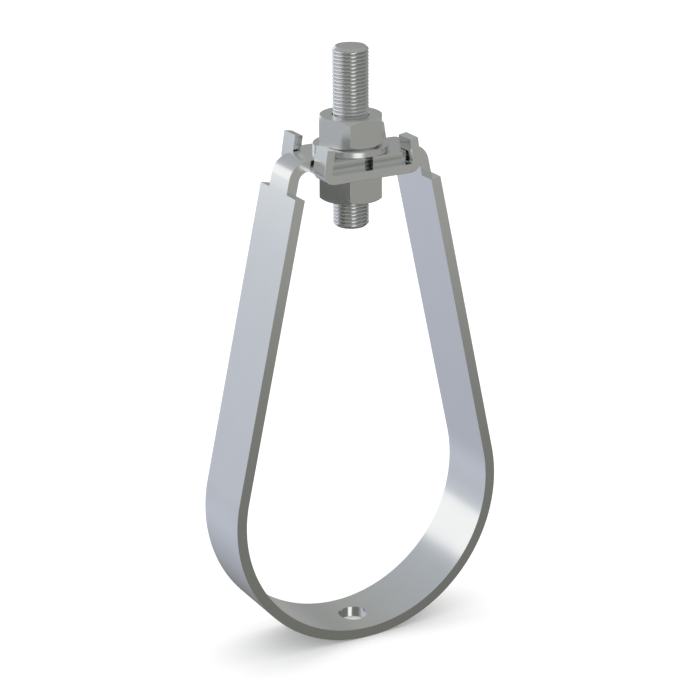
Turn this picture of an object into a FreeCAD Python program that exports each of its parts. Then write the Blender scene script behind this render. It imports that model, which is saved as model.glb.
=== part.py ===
import FreeCAD, Part
import math
import os

import Sketcher
from FreeCAD import Vector

# Pear-shaped pipe hanger for sprinkler pipe.
# A bent strip carries the pipe, its two T-shaped heads butt over a threaded stud, and a folded
# saddle hooks over the heads' outer ends. Two nuts and a washer clamp heads and saddle together.
# Frame: origin at the pipe's centre, +Y along the pipe, +Z up the stud. Millimetres and degrees.

SIZES = [
    # the bent strip
    ("pipe_bore_radius", 38.9, "inner radius of the round bottom"),
    ("strip_thickness", 3.0, "band strip"),
    ("strip_width", 20.0, "band strip, along the pipe"),
    ("leg_lean", 12.3, "lean of the straight legs from upright, degrees"),
    ("neck_width", 10.0, "narrow part of the strip above the shoulders"),
    ("shoulder_drop", 6.2, "from the underside of the heads down to the shoulders"),
    ("neck_bend_radius", 3.0, "inner radius of the bend from leg to head"),
    ("neck_lap", 2.0, "how far the level end of a neck runs into its head"),
    ("bottom_hole_radius", 4.15, "punched hole at the lowest point"),
    # the T-shaped heads
    ("seat_height", 98.7, "underside of the heads above the pipe's centre"),
    ("head_reach", 11.9, "from the stud's axis to the outer end of a head"),
    ("head_gap", 2.5, "slot between the two butting heads"),
    ("head_corner_radius", 1.0, "upright outer corners of a head"),
    ("head_edge_radius", 0.8, "rounding along the lower edges of a head"),
    # the folded saddle
    ("saddle_thickness", 2.5, "saddle strip"),
    ("saddle_width", 24.6, "saddle, along the pipe"),
    ("saddle_bend_radius", 0.7, "inner radius of the saddle's bends"),
    ("ear_lean", 9.0, "inward lean of the turned-up ends, degrees"),
    ("ear_height", 9.35, "underside of the saddle to the inner edges of the ears' tips"),
    ("ear_clearance", 0.2, "between a head's upper end edge and the ear over it"),
    ("notch_clearance", 1.0, "between a neck and the ear beside it"),
    ("notch_setback", 0.1, "bottom of a notch, inside the start of the saddle's bend"),
    # the stud and what is threaded on it
    ("stud_diameter", 9.85, "over the thread's crests"),
    ("stud_chamfer", 0.8, "both ends of the stud"),
    ("stud_rise", 18.9, "free thread above the upper nut"),
    ("stud_drop", 8.1, "free thread below the lower nut"),
    ("stud_clearance", 0.275, "round the stud in heads, saddle and washer"),
    ("thread_clearance", 0.08, "between the stud's crests and a nut's bore"),
    ("valley_width", 0.6, "the one valley of the thread that the solid has, where the free end starts"),
    ("valley_depth", 0.35, "the same valley"),
    ("nut_flats", 17.0, "across the flats"),
    ("nut_height", 8.0, "each nut"),
    ("crown_inset", 0.12, "a nut's flat end face lies this far inside its flats"),
    ("crown_slope", 38.0, "slope of a nut's outer chamfer, degrees"),
    ("countersink_depth", 0.3, "mouth of a nut's bore"),
    ("washer_diameter", 21.0, "outside"),
    ("washer_thickness", 1.8, "washer"),
]

doc = FreeCAD.newDocument("pipe_hanger")
sheet = doc.addObject("Spreadsheet::Sheet", "sizes")
for row, (alias, number, note) in enumerate(SIZES, start=1):
    sheet.set(f"A{row}", alias)
    sheet.set(f"B{row}", str(number))
    sheet.set(f"C{row}", note)
    sheet.setAlias(f"B{row}", alias)
doc.recompute()

# Lengths and levels that several pieces share, each written once as a formula of the sizes.
LEVEL = "90 deg"
LEG_LEAN = "(sizes.leg_lean * 1 deg)"
EAR_LEAN = "(sizes.ear_lean * 1 deg)"
SHOULDER_HEIGHT = "(sizes.seat_height - sizes.shoulder_drop)"
NECK_BEND_HEIGHT = "(sizes.seat_height - sizes.neck_bend_radius)"
NECK_BEND_REACH = (
    f"((sizes.pipe_bore_radius - sizes.neck_bend_radius - {NECK_BEND_HEIGHT} * sin({LEG_LEAN}))"
    f" / cos({LEG_LEAN}))"
)
NECK_ROOT = "(sizes.head_reach - sizes.neck_lap)"
HEAD_TOP = "(sizes.seat_height + sizes.strip_thickness)"
SADDLE_FOOT = "(sizes.seat_height - sizes.saddle_thickness)"
EAR_REACH = "(sizes.head_reach + sizes.ear_clearance)"
EAR_BEND_HEIGHT = "(sizes.seat_height + sizes.saddle_bend_radius)"
EAR_BEND_REACH = (
    f"({EAR_REACH} + (({HEAD_TOP} - {EAR_BEND_HEIGHT}) * sin({EAR_LEAN}) - sizes.saddle_bend_radius)"
    f" / cos({EAR_LEAN}))"
)
EAR_TIP = f"({SADDLE_FOOT} + sizes.ear_height)"
NOTCH_START = f"({EAR_BEND_REACH} - sizes.notch_setback)"
NOTCH_END = f"({EAR_BEND_REACH} + 2 * (sizes.saddle_bend_radius + sizes.saddle_thickness))"
NOTCH_SIDE = "(sizes.neck_width / 2 + sizes.notch_clearance)"
STUD_RADIUS = "(sizes.stud_diameter / 2)"
STUD_HOLE_RADIUS = f"({STUD_RADIUS} + sizes.stud_clearance)"
NUT_BORE_RADIUS = f"({STUD_RADIUS} + sizes.thread_clearance)"
NUT_MOUTH_RADIUS = f"({NUT_BORE_RADIUS} + sizes.countersink_depth)"
NUT_CORNER_RADIUS = "(sizes.nut_flats / sqrt(3))"
CROWN_RADIUS = "(sizes.nut_flats / 2 - sizes.crown_inset)"
CROWN_REACH = f"({NUT_CORNER_RADIUS} + sizes.crown_inset)"
CROWN_DROP = f"(({CROWN_REACH} - {CROWN_RADIUS}) * tan(sizes.crown_slope * 1 deg))"
UPPER_NUT_FOOT = f"({HEAD_TOP} + sizes.washer_thickness)"
LOWER_NUT_FOOT = f"({SADDLE_FOOT} - sizes.nut_height)"
STUD_FOOT = f"({LOWER_NUT_FOOT} - sizes.stud_drop)"
FREE_END = f"({UPPER_NUT_FOOT} + sizes.nut_height - {STUD_FOOT})"
STUD_LENGTH = f"({FREE_END} + sizes.stud_rise)"

# How a sketch counts: its origin, its two axes, and the ends and centre of an edge.
ORIGIN, LEVEL_AXIS, UPRIGHT_AXIS = -1, -1, -2
START, END, CENTRE = 1, 2, 3


def value_of(formula):
    """A formula's value now, in millimetres or degrees."""
    result = sheet.evalExpression(formula)
    return float(getattr(result, "Value", result))


def spoke(formula):
    """A unit step at an angle given by a formula."""
    angle = math.radians(value_of(formula))
    return Vector(math.cos(angle), math.sin(angle), 0)


def new_body(name, lift=None):
    """An empty body whose label names the piece, set at a height where one is given."""
    body = doc.addObject("PartDesign::Body", name)
    body.Label = name
    if lift:
        body.setExpression("Placement.Base.z", lift)
    return body


def part_of_origin(body, role):
    """One of the body's own origin planes or axes."""
    return next(item for item in body.Origin.OriginFeatures if item.Role == role)


def new_sketch(body, name, role, lift=None):
    """A sketch on one of the body's planes, set off from it where a height is given."""
    sketch = body.newObject("Sketcher::SketchObject", name)
    sketch.AttachmentSupport = (part_of_origin(body, role), [""])
    sketch.MapMode = "FlatFace"
    if lift:
        sketch.setExpression("AttachmentOffset.Base.z", lift)
    return sketch


def tie(sketch, kind, *ends):
    """A constraint without a value of its own."""
    sketch.addConstraint(Sketcher.Constraint(kind, *ends))


def bind(sketch, name, formula, kind, *ends):
    """A driving constraint whose value follows a formula."""
    index = sketch.addConstraint(Sketcher.Constraint(kind, *ends, value_of(formula)))
    sketch.renameConstraint(index, name)
    sketch.setExpression(f"Constraints.{name}", formula)


def pin(sketch, name, edge, end, across=None, up=None):
    """Ties one end of an edge to a place given by one or two formulas, either of which may be 0."""
    if across == "0" and up == "0":
        tie(sketch, "Coincident", edge, end, ORIGIN, START)
        return
    for suffix, kind, formula, axis in (
        ("across", "DistanceX", across, UPRIGHT_AXIS),
        ("up", "DistanceY", up, LEVEL_AXIS),
    ):
        if formula == "0":
            tie(sketch, "PointOnObject", edge, end, axis)
        elif formula:
            bind(sketch, f"{name}_{suffix}", formula, kind, ORIGIN, START, edge, end)


def polygon(sketch, name, corners):
    """A closed straight-edged outline whose corners are given by formulas."""
    points = [Vector(value_of(across), value_of(up), 0) for across, up in corners]
    edges = [
        sketch.addGeometry(Part.LineSegment(start, end), False)
        for start, end in zip(points, points[1:] + points[:1])
    ]
    for edge, following in zip(edges, edges[1:] + edges[:1]):
        tie(sketch, "Coincident", edge, END, following, START)
    for number, (edge, (across, up)) in enumerate(zip(edges, corners)):
        pin(sketch, f"{name}{number}", edge, START, across, up)


def circle(sketch, name, radius):
    """A round outline about the sketch's origin."""
    edge = sketch.addGeometry(Part.Circle(Vector(), Vector(0, 0, 1), value_of(radius)), False)
    tie(sketch, "Coincident", edge, CENTRE, ORIGIN, START)
    bind(sketch, name, radius, "Radius", edge)


def run_length(start, step, place):
    """How far to go from a point, along a unit step, to a place given by one formula."""
    (side, formula), = place.items()
    axis = "x" if side == "across" else "y"
    return (value_of(formula) - getattr(start, axis)) / getattr(step, axis)


def strip_profile(body, name, centre, radius, thickness, angles, tip, foot=None):
    """Profile of a bent strip: a bend, the run after it to a square tip, and the run before it.

    The bend turns anticlockwise between two angles. The tip and the foot are places on the inner
    side. Without a foot the bend itself starts on the upright axis.
    """
    sketch = new_sketch(body, name, "XZ_Plane")
    middle = Vector(value_of(centre[0]), value_of(centre[1]), 0)
    first, last = (spoke(angle) for angle in angles)
    along_first, along_last = Vector(-first.y, first.x, 0), Vector(-last.y, last.x, 0)
    inner = value_of(radius)
    length_out = run_length(middle + last * inner, along_last, tip)
    length_in = -run_length(middle + first * inner, along_first, foot) if foot else 0
    bounds = [math.radians(value_of(angle)) for angle in angles]
    bends, runs_out, runs_in = [], [], []
    for reach in (inner, inner + value_of(thickness)):
        start, end = middle + first * reach, middle + last * reach
        full_turn = Part.Circle(middle, Vector(0, 0, 1), reach)
        bend = sketch.addGeometry(Part.ArcOfCircle(full_turn, *bounds), False)
        line = Part.LineSegment(end, end + along_last * length_out)
        runs_out.append(sketch.addGeometry(line, False))
        tie(sketch, "Tangent", bend, END, runs_out[-1], START)
        if foot:
            line = Part.LineSegment(start - along_first * length_in, start)
            runs_in.append(sketch.addGeometry(line, False))
            tie(sketch, "Tangent", runs_in[-1], END, bend, START)
        bends.append(bend)
    pin(sketch, "centre", bends[0], CENTRE, *centre)
    tie(sketch, "Coincident", bends[0], CENTRE, bends[1], CENTRE)
    bind(sketch, "inner_radius", radius, "Radius", bends[0])
    bind(sketch, "outer_radius", f"{radius} + {thickness}", "Radius", bends[1])
    square_end(sketch, "tip", runs_out, END, angles[1])
    pin(sketch, "tip", runs_out[0], END, **tip)
    if foot:
        square_end(sketch, "foot", runs_in, START, angles[0])
        pin(sketch, "foot", runs_in[0], START, **foot)
    else:
        close_end(sketch, bends, START)
        for bend in bends:
            tie(sketch, "PointOnObject", bend, START, UPRIGHT_AXIS)
    return sketch


def square_end(sketch, name, runs, end, angle):
    """Sets two straight runs in one direction and closes them with a square end."""
    if angle in (LEVEL, f"-{LEVEL}"):
        for run in runs:
            tie(sketch, "Horizontal", run)
    else:
        bind(sketch, f"{name}_direction", f"{angle} + {LEVEL}", "Angle", runs[0])
        tie(sketch, "Parallel", *runs)
    tie(sketch, "Perpendicular", runs[0], close_end(sketch, runs, end))


def close_end(sketch, sides, end):
    """The straight end of a strip, from its inner side to its outer side."""
    line = Part.LineSegment(*(sketch.getPoint(side, end) for side in sides))
    cap = sketch.addGeometry(line, False)
    tie(sketch, "Coincident", sides[0], end, cap, START)
    tie(sketch, "Coincident", sides[1], end, cap, END)
    return cap


def pad(body, sketch, name, length, both_ways=False):
    """Solid grown from a sketch, to one side or equally to both."""
    feature = body.newObject("PartDesign::Pad", name)
    feature.Profile = sketch
    feature.SideType = "Symmetric" if both_ways else "One side"
    feature.setExpression("Length", length)
    return feature


def cut(body, sketch, name, depth=None, upward=False):
    """Cut from a sketch to a depth, or right through where none is given."""
    feature = body.newObject("PartDesign::Pocket", name)
    feature.Profile = sketch
    feature.Reversed = upward
    if depth:
        feature.setExpression("Length", depth)
    else:
        feature.Type = "ThroughAll"
    return feature


def turned(body, sketch, name, kind):
    """A full turn of a sketch about the upright axis, added or cut away."""
    feature = body.newObject(f"PartDesign::{kind}", name)
    feature.Profile = sketch
    feature.ReferenceAxis = (part_of_origin(body, "Z_Axis"), [""])
    feature.Angle = 360
    return feature


def rounded(body, base, name, radius, wanted):
    """Rounding of the edges of base that pass a test of their middle point and length."""
    doc.recompute()
    names = [
        f"Edge{number}"
        for number, edge in enumerate(base.Shape.Edges, start=1)
        if wanted(edge.valueAt((edge.FirstParameter + edge.LastParameter) / 2), edge.Length)
    ]
    feature = body.newObject("PartDesign::Fillet", name)
    feature.Base = (base, names)
    feature.setExpression("Radius", radius)
    return feature


def both_halves(body, name):
    """The half made so far with its mirror image across the stud's axis."""
    doc.recompute()
    feature = body.newObject("PartDesign::Mirrored", name)
    feature.TransformMode = "Whole shape"
    feature.MirrorPlane = (part_of_origin(body, "YZ_Plane"), [""])
    body.Tip = feature
    return feature


def near(one, other):
    """Whether two lengths are the same within a hundredth."""
    return abs(one - other) < 0.01


def bent_strip():
    """The pear: head, leg and neck of the right half, mirrored, then the holes."""
    body = new_body("pear_band")
    side = "sizes.strip_width / 2"
    slot_side, outer_end = "sizes.head_gap / 2", "sizes.head_reach"
    plan = new_sketch(body, "head_plan", "XY_Plane", "sizes.seat_height")
    corners = [(slot_side, f"-{side}"), (outer_end, f"-{side}"), (outer_end, side), (slot_side, side)]
    polygon(plan, "corner", corners)
    plate = pad(body, plan, "head_plate", "sizes.strip_thickness")
    height, thickness = value_of("sizes.seat_height"), value_of("sizes.strip_thickness")
    reach, slot = value_of(outer_end), value_of(slot_side)
    upright = rounded(
        body, plate, "head_corners", "sizes.head_corner_radius",
        lambda middle, length: near(middle.x, reach) and near(length, thickness),
    )
    rounded(
        body, upright, "head_lower_edges", "sizes.head_edge_radius",
        lambda middle, length: near(middle.z, height) and not near(middle.x, slot),
    )
    leg = strip_profile(
        body, "leg_profile", ("0", "0"), "sizes.pipe_bore_radius", "sizes.strip_thickness",
        (f"-{LEVEL}", LEG_LEAN), tip={"up": SHOULDER_HEIGHT},
    )
    pad(body, leg, "leg", "sizes.strip_width", both_ways=True)
    neck = strip_profile(
        body, "neck_profile", (NECK_BEND_REACH, NECK_BEND_HEIGHT), "sizes.neck_bend_radius",
        "sizes.strip_thickness", (LEG_LEAN, LEVEL), tip={"across": NECK_ROOT}, foot={"up": SHOULDER_HEIGHT},
    )
    pad(body, neck, "neck", "sizes.neck_width", both_ways=True)
    both_halves(body, "two_legs")
    stud_cut = new_sketch(body, "stud_cut_plan", "XY_Plane", "sizes.seat_height")
    circle(stud_cut, "radius", STUD_HOLE_RADIUS)
    cut(body, stud_cut, "stud_cut", depth="sizes.strip_thickness", upward=True)
    hole = new_sketch(body, "bottom_hole_plan", "XY_Plane")
    circle(hole, "radius", "sizes.bottom_hole_radius")
    cut(body, hole, "bottom_hole")
    return body


def folded_saddle():
    """The saddle: half a channel, mirrored, with a notch in each end and the stud's hole."""
    body = new_body("locking_saddle")
    channel = strip_profile(
        body, "channel_profile", (EAR_BEND_REACH, EAR_BEND_HEIGHT), "sizes.saddle_bend_radius",
        "sizes.saddle_thickness", (f"-{LEVEL}", EAR_LEAN), tip={"up": EAR_TIP}, foot={"across": "0"},
    )
    pad(body, channel, "channel", "sizes.saddle_width", both_ways=True)
    notch = new_sketch(body, "notch_plan", "XY_Plane", SADDLE_FOOT)
    polygon(notch, "corner", [
        (NOTCH_START, f"-{NOTCH_SIDE}"), (NOTCH_END, f"-{NOTCH_SIDE}"),
        (NOTCH_END, NOTCH_SIDE), (NOTCH_START, NOTCH_SIDE),
    ])
    cut(body, notch, "notch", upward=True)
    both_halves(body, "two_ends")
    hole = new_sketch(body, "stud_hole_plan", "XY_Plane", SADDLE_FOOT)
    circle(hole, "radius", STUD_HOLE_RADIUS)
    cut(body, hole, "stud_hole", upward=True)
    return body


def flat_washer():
    """The washer on top of the heads."""
    body = new_body("clamp_washer", lift=HEAD_TOP)
    plan = new_sketch(body, "washer_plan", "XY_Plane")
    circle(plan, "outer_radius", "sizes.washer_diameter / 2")
    circle(plan, "inner_radius", STUD_HOLE_RADIUS)
    pad(body, plan, "plate", "sizes.washer_thickness")
    return body


def hexagon_nut(name, lift):
    """A nut with corners to the sides, chamfered outside and countersunk inside at both ends."""
    body = new_body(name, lift)
    plan = new_sketch(body, "hexagon", "XY_Plane")
    corner, half_corner, flat = NUT_CORNER_RADIUS, f"{NUT_CORNER_RADIUS} / 2", "sizes.nut_flats / 2"
    polygon(plan, "corner", [
        (corner, "0"), (half_corner, flat), (f"-{half_corner}", flat),
        (f"-{corner}", "0"), (f"-{half_corner}", f"-{flat}"), (half_corner, f"-{flat}"),
    ])
    pad(body, plan, "prism", "sizes.nut_height")
    top, sink = "sizes.nut_height", "sizes.countersink_depth"
    turning = new_sketch(body, "turning_profile", "XZ_Plane")
    polygon(turning, "bore", [
        ("0", "0"), (NUT_MOUTH_RADIUS, "0"), (NUT_BORE_RADIUS, sink),
        (NUT_BORE_RADIUS, f"{top} - {sink}"), (NUT_MOUTH_RADIUS, top), ("0", top),
    ])
    polygon(turning, "lower_crown", [(CROWN_RADIUS, "0"), (CROWN_REACH, "0"), (CROWN_REACH, CROWN_DROP)])
    polygon(turning, "upper_crown", [
        (CROWN_RADIUS, top), (CROWN_REACH, f"{top} - {CROWN_DROP}"), (CROWN_REACH, top),
    ])
    turned(body, turning, "bore_and_crowns", "Groove")
    return body


def round_stud():
    """The stud, plain at the size of its thread's crests, with both ends chamfered.

    Its free end is the stretch above the upper nut, set off by one valley of the thread.
    """
    body = new_body("threaded_stud", lift=STUD_FOOT)
    profile = new_sketch(body, "stud_profile", "XZ_Plane")
    bevel = "sizes.stud_chamfer"
    end_radius, valley_radius = f"{STUD_RADIUS} - {bevel}", f"{STUD_RADIUS} - sizes.valley_depth"
    polygon(profile, "corner", [
        ("0", "0"), (end_radius, "0"), (STUD_RADIUS, bevel),
        (STUD_RADIUS, f"{FREE_END} - sizes.valley_width"),
        (valley_radius, f"{FREE_END} - sizes.valley_width / 2"),
        (STUD_RADIUS, FREE_END),
        (STUD_RADIUS, f"{STUD_LENGTH} - {bevel}"), (end_radius, STUD_LENGTH), ("0", STUD_LENGTH),
    ])
    turned(body, profile, "rod", "Revolution")
    return body


bodies = [
    bent_strip(),
    folded_saddle(),
    flat_washer(),
    hexagon_nut("upper_nut", UPPER_NUT_FOOT),
    hexagon_nut("lower_nut", LOWER_NUT_FOOT),
    round_stud(),
]
doc.recompute()

for item in doc.Objects:
    faults = {"Invalid", "Error"} & set(item.State)
    if faults:
        raise RuntimeError(f"{item.Name} is {', '.join(faults)}")
for body in bodies:
    if body.Shape.isNull() or not body.Shape.isValid():
        raise RuntimeError(f"{body.Label} has no sound shape")

os.makedirs("parts", exist_ok=True)
for body in bodies:
    body.Shape.exportStep(f"parts/{body.Label}.step")
    print(body.Label, "volume", round(body.Shape.Volume, 1), "mm3")
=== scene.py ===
import math

import bmesh
import bpy
from mathutils import Matrix, Vector


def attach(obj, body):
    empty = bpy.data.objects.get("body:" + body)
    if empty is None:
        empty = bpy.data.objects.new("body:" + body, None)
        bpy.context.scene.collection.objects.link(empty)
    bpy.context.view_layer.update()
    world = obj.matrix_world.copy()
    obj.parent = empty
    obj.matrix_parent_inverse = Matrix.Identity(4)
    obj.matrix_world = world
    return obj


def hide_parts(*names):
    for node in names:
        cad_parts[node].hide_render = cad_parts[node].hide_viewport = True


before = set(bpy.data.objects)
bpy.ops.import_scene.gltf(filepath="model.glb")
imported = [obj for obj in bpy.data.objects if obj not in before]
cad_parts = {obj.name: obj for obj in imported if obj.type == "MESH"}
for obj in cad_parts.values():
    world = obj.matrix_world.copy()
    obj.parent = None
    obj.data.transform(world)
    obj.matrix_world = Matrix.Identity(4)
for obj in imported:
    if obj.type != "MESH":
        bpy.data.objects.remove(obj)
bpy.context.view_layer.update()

mm = 0.001


def everythingIn(mesh):
    return mesh.verts[:] + mesh.edges[:] + mesh.faces[:]


def linearFromHex(code):
    channels = [int(code[start:start + 2], 16) / 255 for start in (1, 3, 5)]
    return [c / 12.92 if c <= 0.04045 else ((c + 0.055) / 1.055) ** 2.4 for c in channels] + [1.0]


def addNode(tree, kind, settings=None, links=None):
    node = tree.nodes.new(kind)
    for key, value in (settings or {}).items():
        if key in node.inputs.keys() or isinstance(key, int):
            node.inputs[key].default_value = value
        else:
            setattr(node, key, value)
    for key, output in (links or {}).items():
        tree.links.new(output, node.inputs[key])
    return node


def objectFrom(mesh, name):
    bmesh.ops.recalc_face_normals(mesh, faces=mesh.faces[:])
    data = bpy.data.meshes.new(name)
    mesh.to_mesh(data)
    mesh.free()
    piece = bpy.data.objects.new(name, data)
    bpy.context.scene.collection.objects.link(piece)
    return piece


def applyModifiers(piece):
    bpy.context.view_layer.update()
    shown = piece.evaluated_get(bpy.context.evaluated_depsgraph_get())
    finished = bpy.data.meshes.new_from_object(shown)
    piece.modifiers.clear()
    piece.data = finished


def combine(piece, other, operation):
    step = piece.modifiers.new(operation.lower(), "BOOLEAN")
    step.operation = operation
    step.solver = "EXACT"
    step.object = other
    applyModifiers(piece)
    bpy.data.objects.remove(other)


def turnedSolid(points, name, steps=96):
    mesh = bmesh.new()
    corners = [mesh.verts.new((radius * mm, 0, height * mm)) for radius, height in points]
    for start, end in zip(corners, corners[1:]):
        mesh.edges.new((start, end))
    if points[0][0] > 0:
        mesh.edges.new((corners[-1], corners[0]))
    bmesh.ops.spin(mesh, geom=mesh.verts[:] + mesh.edges[:], cent=(0, 0, 0), axis=(0, 0, 1),
                   angle=math.tau, steps=steps, use_merge=True)
    bmesh.ops.remove_doubles(mesh, verts=mesh.verts[:], dist=0.0005 * mm)
    return objectFrom(mesh, name)


def softenEdges(piece, width, angle=30, segments=2):
    for face in piece.data.polygons:
        face.use_smooth = True
    edge = piece.modifiers.new("edges", "BEVEL")
    edge.width = width * mm
    edge.segments = segments
    edge.limit_method = "ANGLE"
    edge.angle_limit = math.radians(angle)
    edge.harden_normals = True
    edge.use_clamp_overlap = True


# camera: long lens from the left, a little above, as the photograph was taken
camera = {
    "place": (-311.4, -554.7, 279.8),
    "heading": 29.27,   # degrees right of the pipe's direction
    "dip": 20.4,
    "roll": -0.23,
    "lens": 124.4,      # on a 36 mm wide sensor
}
lensData = bpy.data.cameras.new("camera")
lensData.lens = camera["lens"]
lensData.sensor_width = 36
cameraObject = bpy.data.objects.new("camera", lensData)
bpy.context.scene.collection.objects.link(cameraObject)
turn = Matrix.Rotation(math.radians(-camera["heading"]), 4, "Z")
tilt = Matrix.Rotation(math.radians(90 - camera["dip"]), 4, "X")
roll = Matrix.Rotation(math.radians(camera["roll"]), 4, "Z")
cameraObject.matrix_world = Matrix.Translation(Vector(camera["place"]) * mm) @ turn @ tilt @ roll
bpy.context.scene.camera = cameraObject
bpy.context.scene.view_settings.view_transform = "Standard"
print("camera set")


def runOf(start, heading, length):
    return {"kind": "run", "start": start, "heading": heading, "length": length}


def bendOf(centre, radius, first, last):
    return {"kind": "bend", "centre": centre, "radius": radius, "first": first, "last": last,
            "length": radius * math.radians(last - first)}


def spoke(degrees):
    return Vector((math.cos(math.radians(degrees)), 0, math.sin(math.radians(degrees))))


def foldedPlace(path, along, across, out):
    for part in path:
        if along <= part["length"] + 1e-9 or part is path[-1]:
            break
        along -= part["length"]
    if part["kind"] == "run":
        onSide = Vector((part["start"][0], 0, part["start"][1])) + spoke(part["heading"]) * along
        outward = spoke(part["heading"] - 90)
    else:
        outward = spoke(part["first"] + math.degrees(along / part["radius"]))
        onSide = Vector((part["centre"][0], 0, part["centre"][1])) + outward * part["radius"]
    place = onSide + outward * out
    return Vector((place.x, across, place.z)) * mm


# a flat blank, x along the strip, y across it and z through its thickness, in millimetres,
# is sliced where it bends, folded along the path, and mirrored to the other half
def foldBlank(blank, path, slices):
    start = 0
    for part in path:
        if part["kind"] == "bend":
            count = slices[part["radius"]]
            for step in range(count + 1):
                cut = start + part["length"] * step / count
                if cut > 1e-6:
                    bmesh.ops.bisect_plane(blank, geom=everythingIn(blank), dist=1e-5,
                                           plane_co=(cut, 0, 0), plane_no=(1, 0, 0))
        start += part["length"]
    for vertex in blank.verts:
        vertex.co = foldedPlace(path, *vertex.co)
    middle = [face for face in blank.faces if all(abs(v.co.x) < 1e-7 for v in face.verts)]
    bmesh.ops.delete(blank, geom=middle, context="FACES_ONLY")
    bmesh.ops.mirror(blank, geom=everythingIn(blank), axis="X", merge_dist=0.001 * mm)


def blankFrom(outline):
    blank = bmesh.new()
    corners = [blank.verts.new((along, across, 0)) for along, across in outline]
    blank.faces.new(corners)
    return blank, corners


def thicken(blank, thickness):
    grown = bmesh.ops.extrude_face_region(blank, geom=blank.faces[:])["geom"]
    bmesh.ops.translate(blank, verts=[v for v in grown if isinstance(v, bmesh.types.BMVert)],
                        vec=(0, 0, thickness))
    bmesh.ops.recalc_face_normals(blank, faces=blank.faces[:])


# bent strip: a blank with a T at each end, folded round the pipe, up the legs and over into the heads
band = {
    "boreRadius": 38.9, "thickness": 3.0, "width": 20.0, "lean": 12.3,
    "shoulderHeight": 92.5, "neckWidth": 10.0, "neckRadius": 3.0,
    "seatHeight": 98.7, "headReach": 11.9, "slotHalf": 1.25, "headCorner": 1.0, "headEdge": 0.8,
    "studHole": 5.2, "bottomHole": 4.15, "neckFillet": 0.5, "edge": 0.12,
    "boreSlices": 72, "neckSlices": 16,
}


def makeBand():
    lean = math.radians(band["lean"])
    bendHeight = band["seatHeight"] - band["neckRadius"]
    bendReach = (band["boreRadius"] - band["neckRadius"] - bendHeight * math.sin(lean)) / math.cos(lean)
    legStart = spoke(band["lean"]) * band["boreRadius"]
    legEnd = Vector((bendReach, 0, bendHeight)) + spoke(band["lean"]) * band["neckRadius"]
    legLength = (legEnd - legStart).length
    path = [
        bendOf((0, 0), band["boreRadius"], -90, band["lean"]),
        runOf((legStart.x, legStart.z), 90 + band["lean"], legLength),
        bendOf((bendReach, bendHeight), band["neckRadius"], band["lean"], 90),
        runOf((bendReach, band["seatHeight"]), 180, bendReach),
    ]
    legFoot = path[0]["length"]
    shoulder = legFoot + (band["shoulderHeight"] - legStart.z) / math.cos(lean)
    headFoot = legFoot + legLength + path[2]["length"] + bendReach - band["headReach"]
    headEnd = headFoot + band["headReach"] - band["slotHalf"]
    side, neck = band["width"] / 2, band["neckWidth"] / 2
    outline = [(0, -side), (shoulder, -side), (shoulder, -neck), (headFoot, -neck), (headFoot, -side),
               (headEnd, -side), (headEnd, side), (headFoot, side), (headFoot, neck), (shoulder, neck),
               (shoulder, side), (0, side)]
    blank, corners = blankFrom(outline)
    bmesh.ops.bevel(blank, geom=[corners[4], corners[7]], affect="VERTICES", offset=band["headCorner"],
                    segments=5, profile=0.5, material=-1)
    near = 1e-4
    inner = [v for v in blank.verts if abs(v.co.x - headFoot) < near and abs(abs(v.co.y) - neck) < near]
    bmesh.ops.bevel(blank, geom=inner, affect="VERTICES", offset=band["neckFillet"], segments=3,
                    profile=0.5, material=-1)
    thicken(blank, band["thickness"])
    pastNeck = neck + 0.9 * band["neckFillet"]
    lowerEdges = [
        edge for edge in blank.edges
        if all(abs(v.co.z) < near and v.co.x > headFoot - near and abs(v.co.y) > pastNeck for v in edge.verts)
        and not all(abs(v.co.x - headEnd) < near for v in edge.verts)
    ]
    bmesh.ops.bevel(blank, geom=lowerEdges, affect="EDGES", offset=band["headEdge"], segments=4,
                    profile=0.5, material=-1, clamp_overlap=True)
    foldBlank(blank, path, {band["boreRadius"]: band["boreSlices"], band["neckRadius"]: band["neckSlices"]})
    piece = objectFrom(blank, "bentBand")
    top = band["seatHeight"]
    studHole = turnedSolid([(0, top - 3), (band["studHole"], top - 3), (band["studHole"], top + 6), (0, top + 6)],
                           "cutter")
    combine(piece, studHole, "DIFFERENCE")
    bottom = -band["boreRadius"] - band["thickness"]
    hole = turnedSolid([(0, bottom - 2), (band["bottomHole"], bottom - 2), (band["bottomHole"], bottom + 8),
                        (0, bottom + 8)], "cutter", steps=64)
    combine(piece, hole, "DIFFERENCE")
    softenEdges(piece, band["edge"])
    return piece


bandPiece = makeBand()
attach(bandPiece, "hanger")
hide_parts("pear_band")
print("bent band made")

# folded saddle: a channel whose two ends lean in over the heads, notched for the necks
saddle = {
    "thickness": 2.5, "width": 24.6, "seatHeight": 98.7, "bendRadius": 0.7, "bendReach": 11.755,
    "earLean": 9.0, "tipHeight": 105.55, "notchHalf": 6.0, "notchReach": 11.655, "studHole": 5.2,
    "edge": 0.15, "bendSlices": 16,
}


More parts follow.
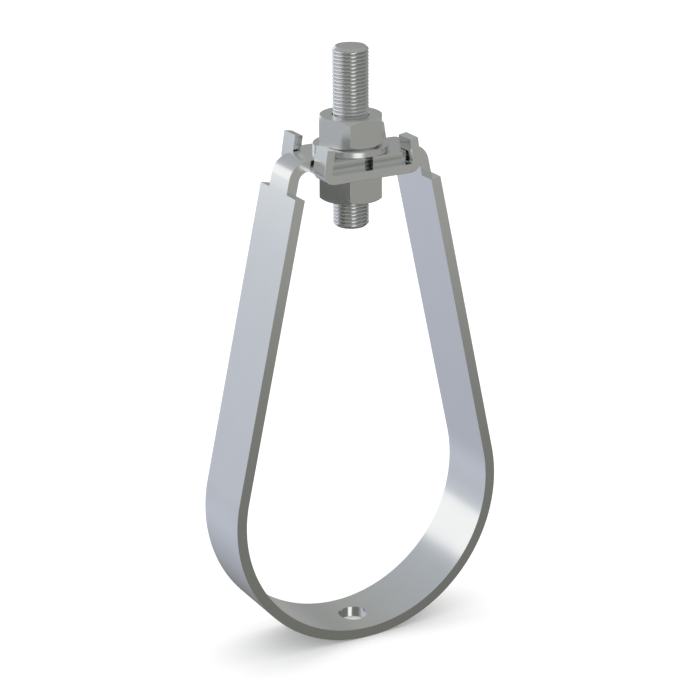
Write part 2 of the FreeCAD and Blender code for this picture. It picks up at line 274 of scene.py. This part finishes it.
def makeSaddle():
    bendHeight = saddle["seatHeight"] + saddle["bendRadius"]
    earFoot = Vector((saddle["bendReach"], 0, bendHeight)) + spoke(saddle["earLean"]) * saddle["bendRadius"]
    earLength = (saddle["tipHeight"] - earFoot.z) / math.cos(math.radians(saddle["earLean"]))
    path = [
        runOf((0, saddle["seatHeight"]), 0, saddle["bendReach"]),
        bendOf((saddle["bendReach"], bendHeight), saddle["bendRadius"], -90, saddle["earLean"]),
        runOf((earFoot.x, earFoot.z), 90 + saddle["earLean"], earLength),
    ]
    tip = sum(part["length"] for part in path)
    side, notch = saddle["width"] / 2, saddle["notchHalf"]
    outline = [(0, -side), (tip, -side), (tip, -notch), (saddle["notchReach"], -notch),
               (saddle["notchReach"], notch), (tip, notch), (tip, side), (0, side)]
    blank, corners = blankFrom(outline)
    thicken(blank, saddle["thickness"])
    foldBlank(blank, path, {saddle["bendRadius"]: saddle["bendSlices"]})
    piece = objectFrom(blank, "foldedSaddle")
    seat = saddle["seatHeight"]
    hole = turnedSolid([(0, seat - 5), (saddle["studHole"], seat - 5), (saddle["studHole"], seat + 3),
                        (0, seat + 3)], "cutter")
    combine(piece, hole, "DIFFERENCE")
    softenEdges(piece, saddle["edge"])
    return piece


saddlePiece = makeSaddle()
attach(saddlePiece, "hanger")
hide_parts("locking_saddle")
print("folded saddle made")

# washer with edges broken by stamping
washer = {"radius": 10.5, "hole": 5.2, "foot": 101.7, "top": 103.5, "edge": 0.25}


def makeWasher():
    piece = turnedSolid([
        (washer["hole"], washer["foot"]), (washer["radius"], washer["foot"]),
        (washer["radius"], washer["top"]), (washer["hole"], washer["top"]),
    ], "flatWasher", steps=128)
    softenEdges(piece, washer["edge"], segments=3)
    return piece


washerPiece = makeWasher()
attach(washerPiece, "washer")
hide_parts("clamp_washer")
print("washer made")

# hexagon nut: corners point to the legs, both ends chamfered, bore countersunk
nut = {"flats": 17.0, "height": 8.0, "bore": 5.1, "countersink": 0.1, "crown": 8.38, "slope": 38.0, "edge": 0.05}


def makeNut(name, foot):
    top = foot + nut["height"]
    cornerRadius = nut["flats"] / math.sqrt(3)
    mesh = bmesh.new()
    quarterTurn = Matrix.Rotation(math.pi / 2, 4, "Z")
    bmesh.ops.create_cone(mesh, cap_ends=True, segments=6, radius1=cornerRadius * mm,
                          radius2=cornerRadius * mm, depth=nut["height"] * mm,
                          matrix=Matrix.Translation((0, 0, (foot + top) / 2 * mm)) @ quarterTurn)
    piece = objectFrom(mesh, name)
    far = nut["crown"] + 2
    drop = (far - nut["crown"]) * math.tan(math.radians(nut["slope"]))
    crown = turnedSolid([(0, foot), (nut["crown"], foot), (far, foot + drop), (far, top - drop),
                         (nut["crown"], top), (0, top)], "cutter", steps=144)
    combine(piece, crown, "INTERSECT")
    mouth = nut["bore"] + nut["countersink"]
    bore = turnedSolid([(0, foot - 1), (mouth + 1, foot - 1), (nut["bore"], foot + nut["countersink"]),
                        (nut["bore"], top - nut["countersink"]), (mouth + 1, top + 1), (0, top + 1)],
                       "cutter", steps=96)
    combine(piece, bore, "DIFFERENCE")
    softenEdges(piece, nut["edge"], angle=20)
    return piece


for name, node, body, foot in (
    ("upperNut", "upper_nut", "top_nut", 103.5),
    ("lowerNut", "lower_nut", "bottom_nut", 88.2),
):
    nutPiece = makeNut(name, foot)
    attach(nutPiece, body)
    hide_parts(node)
    print(name, "made")

# stud with a fine right-hand thread rolled along its whole length: broad round crests, narrow valleys
stud = {"crest": 4.925, "shoulder": 4.84, "root": 4.38, "pitch": 1.0, "foot": 80.1, "tip": 130.4,
        "chamfer": 0.8, "steps": 40, "sharpAngle": 30}


def makeStud():
    mesh = bmesh.new()
    start = stud["foot"] - 2
    turns = math.ceil(stud["tip"] - start) + 2
    ridge = [(stud["root"], 0), (stud["shoulder"], 0.22), (stud["crest"], 0.4), (stud["crest"], 0.6),
             (stud["shoulder"], 0.78), (stud["root"], 1)]
    corners = [mesh.verts.new((radius * mm, 0, (start + height * stud["pitch"]) * mm)) for radius, height in ridge]
    for lower, upper in zip(corners, corners[1:]):
        mesh.edges.new((lower, upper))
    bmesh.ops.spin(mesh, geom=mesh.verts[:] + mesh.edges[:], cent=(0, 0, 0), axis=(0, 0, 1),
                   dvec=(0, 0, stud["pitch"] / stud["steps"] * mm), angle=math.tau * turns,
                   steps=stud["steps"] * turns)
    bmesh.ops.remove_doubles(mesh, verts=mesh.verts[:], dist=0.003 * mm)
    for height, side in ((stud["foot"], -1), (stud["tip"], 1)):
        for inset, clear in ((0, True), (stud["chamfer"], False)):
            cut = bmesh.ops.bisect_plane(mesh, geom=everythingIn(mesh), dist=1e-7, clear_outer=clear,
                                         plane_co=(0, 0, (height - side * inset) * mm), plane_no=(0, 0, side))
            if clear:
                rim = [item for item in cut["geom_cut"] if isinstance(item, bmesh.types.BMEdge)]
                bmesh.ops.holes_fill(mesh, edges=rim, sides=0)
    # both ends are turned down to a smooth cone before the thread is rolled
    for vertex in mesh.verts:
        height = vertex.co.z / mm
        depth = min(height - stud["foot"], stud["tip"] - height)
        if depth < stud["chamfer"] + 0.001:
            scale = (stud["crest"] - stud["chamfer"] + depth) * mm / vertex.co.xy.length
            vertex.co.x *= scale
            vertex.co.y *= scale
    piece = objectFrom(mesh, "threadedStud")
    for face in piece.data.polygons:
        face.use_smooth = True
    piece.data.set_sharp_from_angle(angle=math.radians(stud["sharpAngle"]))
    return piece


studPiece = makeStud()
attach(studPiece, "stud")
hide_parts("threaded_stud")
print("threaded stud made", len(studPiece.data.polygons), "faces")

# finishes: bright zinc plate on steel. It mirrors the studio softly, sharpest on rolled strip and a little duller
# on pressed nuts, washer and rolled thread, with faint clouds in the plating
finishes = {
    "zincPlatedStrip": {"colour": "#F4F5F6", "dull": "#EFF0F0", "roughness": 0.17,
                        "on": ("bentBand", "foldedSaddle")},
    "zincPlatedNut": {"colour": "#EFF0F0", "dull": "#EAEBEB", "roughness": 0.22,
                      "on": ("flatWasher", "upperNut", "lowerNut")},
    "zincPlatedThread": {"colour": "#EEEFEF", "dull": "#E9EAEA", "roughness": 0.21, "on": ("threadedStud",)},
}
plating = {"cloud": 9.0, "grain": 0.5, "spread": 0.01}


def makeZinc(name, look):
    material = bpy.data.materials.new(name)
    material.use_nodes = True
    tree = material.node_tree
    shader = next(node for node in tree.nodes if node.type == "BSDF_PRINCIPLED")
    shader.inputs["Metallic"].default_value = 1.0
    place = addNode(tree, "ShaderNodeTexCoord")
    cloud = addNode(tree, "ShaderNodeTexNoise", {"Scale": 1 / (plating["cloud"] * mm), "Detail": 3.0},
                    {"Vector": place.outputs["Object"]})
    fine = addNode(tree, "ShaderNodeTexNoise", {"Scale": 1 / (plating["grain"] * mm), "Detail": 2.0},
                   {"Vector": place.outputs["Object"]})
    tint = addNode(tree, "ShaderNodeMix",
                   {"data_type": "RGBA", 6: linearFromHex(look["colour"]), 7: linearFromHex(look["dull"])},
                   {"Factor": cloud.outputs["Fac"]})
    tree.links.new(tint.outputs[2], shader.inputs["Base Color"])
    rough = addNode(tree, "ShaderNodeMapRange",
                    {"To Min": look["roughness"] - plating["spread"], "To Max": look["roughness"] + plating["spread"]},
                    {"Value": fine.outputs["Fac"]})
    tree.links.new(rough.outputs["Result"], shader.inputs["Roughness"])
    return material


for name, look in finishes.items():
    material = makeZinc(name, look)
    for pieceName in look["on"]:
        slots = bpy.data.objects[pieceName].data.materials
        slots.clear()
        slots.append(material)
print("finishes set")

# plain pale floor: white to the camera, darker only where the hanger shades it
floor = {"height": -41.9, "gap": 0.02, "radius": 3000, "colour": "#F6F6F6", "lift": 0.08}
mesh = bmesh.new()
bmesh.ops.create_circle(mesh, cap_ends=True, segments=96, radius=floor["radius"] * mm,
                        matrix=Matrix.Translation((0, 0, (floor["height"] - floor["gap"]) * mm)))
floorPiece = objectFrom(mesh, "floor")
floorMaterial = bpy.data.materials.new("paleFloor")
floorMaterial.use_nodes = True
tree = floorMaterial.node_tree
tree.nodes.clear()
path = addNode(tree, "ShaderNodeLightPath")
lit = addNode(tree, "ShaderNodeBsdfDiffuse", {"Color": linearFromHex(floor["colour"])})
strength = addNode(tree, "ShaderNodeMath", {"operation": "MULTIPLY", 1: floor["lift"]},
                   {0: path.outputs["Is Camera Ray"]})
glow = addNode(tree, "ShaderNodeEmission", {"Color": (1, 1, 1, 1)}, {"Strength": strength.outputs["Value"]})
both = addNode(tree, "ShaderNodeAddShader", None, {0: lit.outputs["BSDF"], 1: glow.outputs["Emission"]})
addNode(tree, "ShaderNodeOutputMaterial", None, {"Surface": both.outputs["Shader"]})
floorPiece.data.materials.append(floorMaterial)
floorPiece.visible_glossy = False   # the steel mirrors the surround below, which holds the floor's tones
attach(floorPiece, "hanger")       # the band stays standing on it when the lower nut is slackened

# studio: a white backdrop lights the floor and shows behind the hanger. In the photograph the steel mirrors it
# only in a band behind on the left, and elsewhere a grey room, given by height from straight down, 0, to up, 1
surround = {
    "bright": [(0.0, "#A6AAB2"), (0.23, "#ADB1BC"), (0.255, "#B2B6C1"), (0.29, "#BBC0CA"), (0.33, "#BABEC8"),
               (0.376, "#B6BAC3"), (0.42, "#BEC2CA"), (0.455, "#BFC5CC"), (0.485, "#D6DCE2"), (0.655, "#E6EAEC"),
               (0.70, "#BABEC3"), (0.74, "#ABAFB4"), (1.0, "#A6AAAE")],
    "dim": [(0.0, "#616159"), (0.28, "#6A6B65"), (0.325, "#767771"), (0.345, "#A0A09B"), (0.42, "#A0A09C"),
            (0.5, "#99999A"), (0.58, "#939592"), (0.65, "#949694"), (0.69, "#9C9D9A"), (1.0, "#A4A5A5")],
    "side": (-0.616, 0.788, 0.0), "sideShare": (0.38, 0.8),
    "backdropFrom": (0.455, 0.485), "backdropTo": (0.7, 0.66),
    "strip": (-0.122, -0.993, 0.0), "stripEdge": (0.951, 0.985), "stripTop": (0.5, 0.42),
    "power": 1.06,
}
world = bpy.data.worlds.new("studio")
bpy.context.scene.world = world
world.use_nodes = True
tree = world.node_tree
tree.nodes.clear()
direction = addNode(tree, "ShaderNodeTexCoord")
split = addNode(tree, "ShaderNodeSeparateXYZ", None, {"Vector": direction.outputs["Generated"]})
level = addNode(tree, "ShaderNodeMapRange", {"From Min": -1.0, "From Max": 1.0}, {"Value": split.outputs["Z"]})
toSide = addNode(tree, "ShaderNodeVectorMath", {"operation": "DOT_PRODUCT", 1: surround["side"]},
                 {0: direction.outputs["Generated"]})
flat = addNode(tree, "ShaderNodeVectorMath", {"operation": "MULTIPLY", 1: (1, 1, 0)},
               {0: direction.outputs["Generated"]})
around = addNode(tree, "ShaderNodeVectorMath", {"operation": "NORMALIZE"}, {0: flat.outputs["Vector"]})
toStrip = addNode(tree, "ShaderNodeVectorMath", {"operation": "DOT_PRODUCT", 1: surround["strip"]},
                  {0: around.outputs["Vector"]})
fades = {}
for name, source in (
    ("sideShare", toSide.outputs["Value"]),
    ("stripEdge", toStrip.outputs["Value"]),
    ("stripTop", level.outputs["Result"]),
    ("backdropFrom", level.outputs["Result"]),
    ("backdropTo", level.outputs["Result"]),
):
    start, end = surround[name]
    fades[name] = addNode(tree, "ShaderNodeMapRange", {"From Min": start, "From Max": end}, {"Value": source})
tones = {}
for name in ("bright", "dim"):
    tones[name] = addNode(tree, "ShaderNodeValToRGB", None, {"Fac": level.outputs["Result"]})
    points = tones[name].color_ramp.elements
    for index, (place, code) in enumerate(surround[name]):
        point = points[index] if index < 2 else points.new(place)
        point.position = place
        point.color = linearFromHex(code)
sides = addNode(tree, "ShaderNodeMix", {"data_type": "RGBA"},
                {"Factor": fades["sideShare"].outputs["Result"], 6: tones["dim"].outputs["Color"],
                 7: tones["bright"].outputs["Color"]})

# an upright light strip in front, which draws the highlight down the stud, nuts and washer
strip = addNode(tree, "ShaderNodeMath", {"operation": "MULTIPLY"},
                {0: fades["stripEdge"].outputs["Result"], 1: fades["stripTop"].outputs["Result"]})
mixed = addNode(tree, "ShaderNodeMix", {"data_type": "RGBA", 7: (1, 1, 1, 1)},
                {"Factor": strip.outputs["Value"], 6: sides.outputs[2]})
room = addNode(tree, "ShaderNodeBackground", {"Strength": surround["power"]}, {"Color": mixed.outputs[2]})
backdrop = addNode(tree, "ShaderNodeBackground", {"Color": (1, 1, 1, 1), "Strength": 1.0})

# glossy and transmission rays see the backdrop too where its band stands, and the room elsewhere
path = addNode(tree, "ShaderNodeLightPath")
height = addNode(tree, "ShaderNodeMath", {"operation": "MULTIPLY"},
                 {0: fades["backdropFrom"].outputs["Result"], 1: fades["backdropTo"].outputs["Result"]})
inBand = addNode(tree, "ShaderNodeMath", {"operation": "MULTIPLY"},
                 {0: height.outputs["Value"], 1: fades["sideShare"].outputs["Result"]})
beside = addNode(tree, "ShaderNodeMath", {"operation": "SUBTRACT", 0: 1.0}, {1: inBand.outputs["Value"]})
mirrored = addNode(tree, "ShaderNodeMath", {"operation": "MAXIMUM"},
                   {0: path.outputs["Is Glossy Ray"], 1: path.outputs["Is Transmission Ray"]})
seesRoom = addNode(tree, "ShaderNodeMath", {"operation": "MULTIPLY"},
                   {0: mirrored.outputs["Value"], 1: beside.outputs["Value"]})
choice = addNode(tree, "ShaderNodeMixShader", None,
                 {"Fac": seesRoom.outputs["Value"], 1: backdrop.outputs["Background"],
                  2: room.outputs["Background"]})
addNode(tree, "ShaderNodeOutputWorld", None, {"Surface": choice.outputs["Shader"]})
world.cycles.sampling_method = "NONE"   # the world is smooth, and each ray then sees its own part of it

# one broad soft lamp above and behind, for the shadow under the ring. The steel doesn't mirror it
lamp = {"from": (280, 485, 720), "spread": 90, "power": 0.9}
lampData = bpy.data.lights.new("overhead", "SUN")
lampData.energy = lamp["power"]
lampData.angle = math.radians(lamp["spread"])
lampObject = bpy.data.objects.new("overhead", lampData)
bpy.context.scene.collection.objects.link(lampObject)
lampObject.location = Vector(lamp["from"]) * mm
lampObject.rotation_euler = (-lampObject.location).to_track_quat("-Z", "Y").to_euler()
lampObject.visible_glossy = False
print("studio set")
